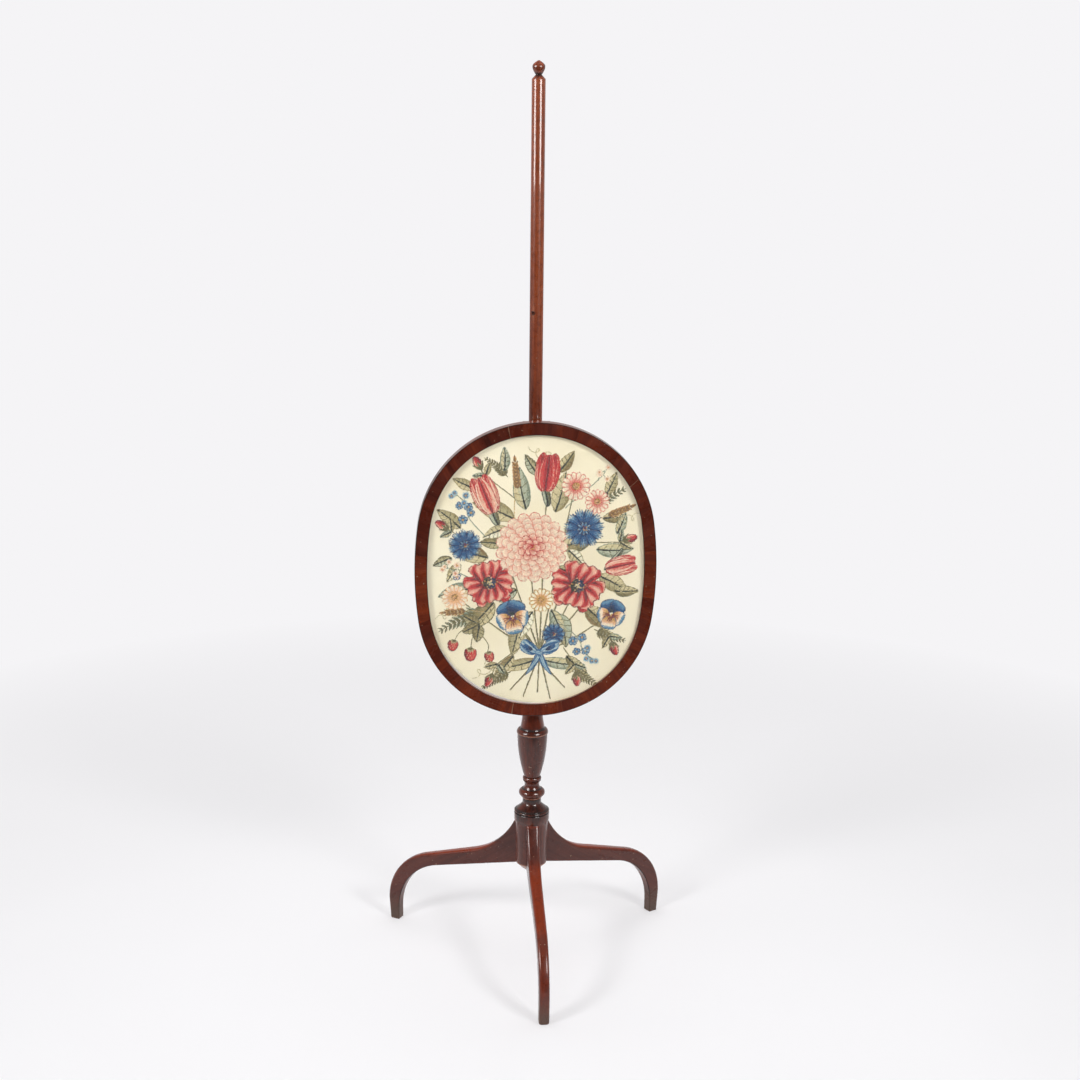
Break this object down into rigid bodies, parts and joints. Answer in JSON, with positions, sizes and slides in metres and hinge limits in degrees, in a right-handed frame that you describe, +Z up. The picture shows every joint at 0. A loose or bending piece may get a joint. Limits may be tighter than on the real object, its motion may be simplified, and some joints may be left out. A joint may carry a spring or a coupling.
{
  "type": "pole screen",
  "caption": "Free-standing fire screen: an oval glazed needlework panel that slides up and turns on a turned wooden pole over a tripod of curved legs.",
  "frame": {"origin": "on the floor, under the middle of the whole object's box", "axes": "+Z up along the pole; -Y is the way the panel faces and the front leg points; +X is to the right in a front view"},
  "size_m": [0.4636, 0.4014, 1.42],
  "materials": {
    "mahogany": "polished",
    "veneer": "polished",
    "glass": "clear",
    "canvas": "woven",
    "pine": "raw",
    "backboard": "stained",
    "iron": "dull",
    "brass": "aged",
    "leather": "plain"
  },
  "bodies": {
    "stand": {"column": "mahogany", "leg_front": "mahogany", "leg_rear_left": "mahogany", "leg_rear_right": "mahogany", "pole": "mahogany", "finial": "mahogany"},
    "sleeve": {"upper_bush": "leather", "lower_bush": "leather"},
    "screen": {"frame_top": "mahogany", "frame_left": "mahogany", "frame_bottom": "mahogany", "frame_right": "mahogany", "veneer_01": "veneer", "veneer_02": "veneer", "veneer_03": "veneer", "veneer_04": "veneer", "veneer_05": "veneer", "veneer_06": "veneer", "veneer_07": "veneer", "veneer_08": "veneer", "veneer_09": "veneer", "veneer_10": "veneer", "veneer_11": "veneer", "veneer_12": "veneer", "glass": "glass", "needlework": "canvas", "strainer": "pine", "strainer_bar": "pine", "canvas_tacks": "iron", "backboard": "backboard", "backboard_pins": "brass", "upper_eye": "brass", "lower_eye": "brass", "eye_screws": "brass"},
    "shoe": {"clamp_shoe": "brass"},
    "thumb_screw": {"thumb_screw": "brass"}
  },
  "joints": [
    {"name": "screen_lift", "type": "slide", "parent": "stand", "child": "sleeve", "axis": [0, 0, 1], "range_m": [0, 0.51]},
    {"name": "screen_turn", "type": "hinge", "parent": "sleeve", "child": "screen", "pos_m": [0, 0.06229, 0.6529], "axis": [0, 0, 1], "continuous": true},
    {"name": "shoe_press", "type": "slide", "parent": "screen", "child": "shoe", "axis": [0, 1, 0], "range_m": [0, 0.0015]},
    {"name": "thumb_turn", "type": "hinge", "parent": "shoe", "child": "thumb_screw", "pos_m": [0, 0.07729, 0.8699], "axis": [0, 1, 0], "range_deg": [0, 720]}
  ],
  "couplings": [
    {"joint": "shoe_press", "follows": "thumb_turn", "m_per_rad": 0.00011141}
  ]
}
